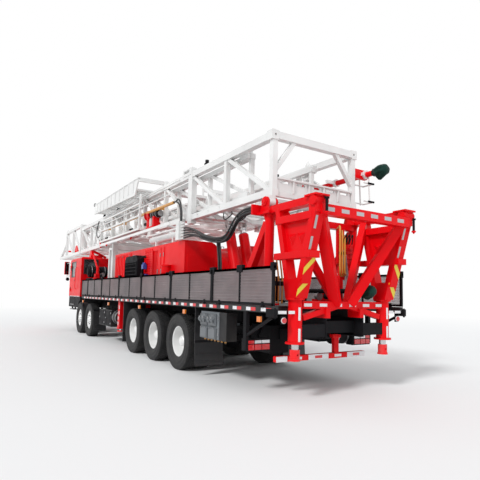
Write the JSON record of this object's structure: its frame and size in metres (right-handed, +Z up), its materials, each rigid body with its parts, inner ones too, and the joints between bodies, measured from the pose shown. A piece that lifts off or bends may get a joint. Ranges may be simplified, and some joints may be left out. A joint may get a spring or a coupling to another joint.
{
  "type": "workover rig",
  "caption": "Self-propelled workover rig: a two-section mast lying over a wheeled carrier, raised by telescopic cylinders, with racking board, drawworks, jacks and cab.",
  "frame": {"origin": "middle of the rig's box, on the ground under the tyres", "axes": "+X forward towards the cab and the mast's crown, +Y to the left, +Z up"},
  "size_m": [20.86, 3.008, 4.85],
  "materials": {
    "red_paint": "glossy red enamel",
    "white_paint": "white enamel",
    "black_steel": "satin black chassis paint",
    "grey_steel": "dark grey paint",
    "walkway_mesh": "dark grey expanded mesh",
    "rod_chrome": "hard chrome",
    "rubber": "matt black rubber",
    "tyre": "black tyre",
    "yellow_paint": "ochre yellow paint",
    "green_cloth": "dark green tarpaulin cloth",
    "cab_trim": "dark grey trim",
    "window_glass": "tinted glass"
  },
  "bodies": {
    "carrier": {"chassis_frame": "black_steel", "axles": "black_steel", "deck": "black_steel", "side_boxes": "grey_steel", "mudguards": "rubber", "rear_bumper": "red_paint", "base_frame": "red_paint", "rotary_shaft": "black_steel", "shaft_wrap": "green_cloth", "jack_tubes": "red_paint", "cab_shell": "red_paint", "cab_interior": "cab_trim", "cab_glass": "window_glass", "front_bumper": "black_steel", "mast_rest": "white_paint", "mast_cradle": "red_paint", "engine_house": "red_paint", "engine": "grey_steel", "radiator_unit": "black_steel", "drawworks": "red_paint", "valve_stand": "white_paint", "hose_bundle": "rubber", "hose_drop": "rubber"},
    "mast": {"mast_lower": "white_paint", "mast_floor": "white_paint", "mast_base": "white_paint", "mast_catwalk": "white_paint", "standpipe": "red_paint", "standpipe_wrap": "green_cloth", "guide_tube": "yellow_paint"},
    "mast_top": {"mast_upper": "white_paint", "upper_floor": "white_paint", "crown_block": "red_paint"},
    "racking": {"racking_board": "white_paint"},
    "ram_barrel": {"ram_barrels": "red_paint"},
    "ram_stage": {"ram_stages": "grey_steel"},
    "ram_rod": {"ram_rods": "rod_chrome"},
    "cab_door_left": {"cab_door_left": "red_paint"},
    "walkway_left": {"walkway_left": "walkway_mesh"},
    "jack_rear_left": {"jack_leg_rear_left": "grey_steel"},
    "jack_mid_left": {"jack_leg_mid_left": "grey_steel"},
    "knuckle_1_left": {"knuckle_1_left": "grey_steel"},
    "knuckle_2_left": {"knuckle_2_left": "grey_steel"},
    "wheel_1_left": {"wheel_1_left": "tyre"},
    "wheel_2_left": {"wheel_2_left": "tyre"},
    "wheel_3_left": {"wheel_3_left": "tyre"},
    "wheel_4_left": {"wheel_4_left": "tyre"},
    "wheel_5_left": {"wheel_5_left": "tyre"},
    "cab_door_right": {"cab_door_right": "red_paint"},
    "walkway_right": {"walkway_right": "walkway_mesh"},
    "jack_rear_right": {"jack_leg_rear_right": "grey_steel"},
    "jack_mid_right": {"jack_leg_mid_right": "grey_steel"},
    "knuckle_1_right": {"knuckle_1_right": "grey_steel"},
    "knuckle_2_right": {"knuckle_2_right": "grey_steel"},
    "wheel_1_right": {"wheel_1_right": "tyre"},
    "wheel_2_right": {"wheel_2_right": "tyre"},
    "wheel_3_right": {"wheel_3_right": "tyre"},
    "wheel_4_right": {"wheel_4_right": "tyre"},
    "wheel_5_right": {"wheel_5_right": "tyre"}
  },
  "joints": [
    {"name": "mast_raise", "type": "hinge", "parent": "carrier", "child": "mast", "pos_m": [-9.1, 0, 3.23], "axis": [0, -1, 0], "range_deg": [0, 90]},
    {"name": "mast_extend", "type": "slide", "parent": "mast", "child": "mast_top", "axis": [1, 0, 0], "range_m": [0, 12]},
    {"name": "racking_board_fold", "type": "hinge", "parent": "mast_top", "child": "racking", "pos_m": [-3.39, 0, 4.56], "axis": [0, -1, 0], "range_deg": [0, 90]},
    {"name": "ram_tilt", "type": "hinge", "parent": "carrier", "child": "ram_barrel", "pos_m": [-7.01, 0, 1.21], "axis": [0, -1, 0], "range_deg": [0, 42.5]},
    {"name": "ram_stage_out", "type": "slide", "parent": "ram_barrel", "child": "ram_stage", "axis": [0.3169, 0, 0.9484], "range_m": [0, 1.553]},
    {"name": "ram_rod_out", "type": "slide", "parent": "ram_stage", "child": "ram_rod", "axis": [0.3169, 0, 0.9484], "range_m": [0, 1.553]},
    {"name": "steer_1_left", "type": "hinge", "parent": "carrier", "child": "knuckle_1_left", "pos_m": [3.125, 1.01, 0.6], "axis": [0, 0, 1], "range_deg": [-30, 30]},
    {"name": "steer_1_right", "type": "hinge", "parent": "carrier", "child": "knuckle_1_right", "pos_m": [3.125, -1.01, 0.6], "axis": [0, 0, 1], "range_deg": [-30, 30]},
    {"name": "steer_2_left", "type": "hinge", "parent": "carrier", "child": "knuckle_2_left", "pos_m": [1.625, 1.01, 0.6], "axis": [0, 0, 1], "range_deg": [-24, 24]},
    {"name": "steer_2_right", "type": "hinge", "parent": "carrier", "child": "knuckle_2_right", "pos_m": [1.625, -1.01, 0.6], "axis": [0, 0, 1], "range_deg": [-24, 24]},
    {"name": "wheel_1_left_spin", "type": "hinge", "parent": "knuckle_1_left", "child": "wheel_1_left", "pos_m": [3.125, 1.2615, 0.6], "axis": [0, 1, 0], "continuous": true},
    {"name": "wheel_1_right_spin", "type": "hinge", "parent": "knuckle_1_right", "child": "wheel_1_right", "pos_m": [3.125, -1.2615, 0.6], "axis": [0, 1, 0], "continuous": true},
    {"name": "wheel_2_left_spin", "type": "hinge", "parent": "knuckle_2_left", "child": "wheel_2_left", "pos_m": [1.625, 1.2615, 0.6], "axis": [0, 1, 0], "continuous": true},
    {"name": "wheel_2_right_spin", "type": "hinge", "parent": "knuckle_2_right", "child": "wheel_2_right", "pos_m": [1.625, -1.2615, 0.6], "axis": [0, 1, 0], "continuous": true},
    {"name": "wheel_3_left_spin", "type": "hinge", "parent": "carrier", "child": "wheel_3_left", "pos_m": [-3.324, 1.0865, 0.6], "axis": [0, 1, 0], "continuous": true},
    {"name": "wheel_3_right_spin", "type": "hinge", "parent": "carrier", "child": "wheel_3_right", "pos_m": [-3.324, -1.0865, 0.6], "axis": [0, 1, 0], "continuous": true},
    {"name": "wheel_4_left_spin", "type": "hinge", "parent": "carrier", "child": "wheel_4_left", "pos_m": [-4.819, 1.0865, 0.6], "axis": [0, 1, 0], "continuous": true},
    {"name": "wheel_4_right_spin", "type": "hinge", "parent": "carrier", "child": "wheel_4_right", "pos_m": [-4.819, -1.0865, 0.6], "axis": [0, 1, 0], "continuous": true},
    {"name": "wheel_5_left_spin", "type": "hinge", "parent": "carrier", "child": "wheel_5_left", "pos_m": [-6.307, 1.0865, 0.6], "axis": [0, 1, 0], "continuous": true},
    {"name": "wheel_5_right_spin", "type": "hinge", "parent": "carrier", "child": "wheel_5_right", "pos_m": [-6.307, -1.0865, 0.6], "axis": [0, 1, 0], "continuous": true},
    {"name": "cab_door_left_open", "type": "hinge", "parent": "carrier", "child": "cab_door_left", "pos_m": [5.19, 1.425, 2.2], "axis": [0, 0, -1], "range_deg": [0, 70]},
    {"name": "walkway_left_fold", "type": "hinge", "parent": "carrier", "child": "walkway_left", "pos_m": [-3.635, 1.489, 1.455], "axis": [-1, 0, 0], "range_deg": [0, 90]},
    {"name": "jack_rear_left_down", "type": "slide", "parent": "carrier", "child": "jack_rear_left", "axis": [0, 0, -1], "range_m": [0, 0.6]},
    {"name": "jack_mid_left_down", "type": "slide", "parent": "carrier", "child": "jack_mid_left", "axis": [0, 0, -1], "range_m": [0, 0.44]},
    {"name": "cab_door_right_open", "type": "hinge", "parent": "carrier", "child": "cab_door_right", "pos_m": [5.19, -1.425, 2.2], "axis": [0, 0, 1], "range_deg": [0, 70]},
    {"name": "walkway_right_fold", "type": "hinge", "parent": "carrier", "child": "walkway_right", "pos_m": [-3.635, -1.489, 1.455], "axis": [1, 0, 0], "range_deg": [0, 90]},
    {"name": "jack_rear_right_down", "type": "slide", "parent": "carrier", "child": "jack_rear_right", "axis": [0, 0, -1], "range_m": [0, 0.6]},
    {"name": "jack_mid_right_down", "type": "slide", "parent": "carrier", "child": "jack_mid_right", "axis": [0, 0, -1], "range_m": [0, 0.44]}
  ],
  "couplings": [
    {"joint": "ram_tilt", "follows": "mast_raise", "ratio": 0.46604},
    {"joint": "ram_stage_out", "follows": "mast_raise", "m_per_rad": 0.9858},
    {"joint": "ram_rod_out", "follows": "mast_raise", "m_per_rad": 0.9858},
    {"joint": "steer_1_right", "follows": "steer_1_left", "ratio": 1},
    {"joint": "steer_2_left", "follows": "steer_1_left", "ratio": 0.8},
    {"joint": "steer_2_right", "follows": "steer_1_left", "ratio": 0.8}
  ]
}
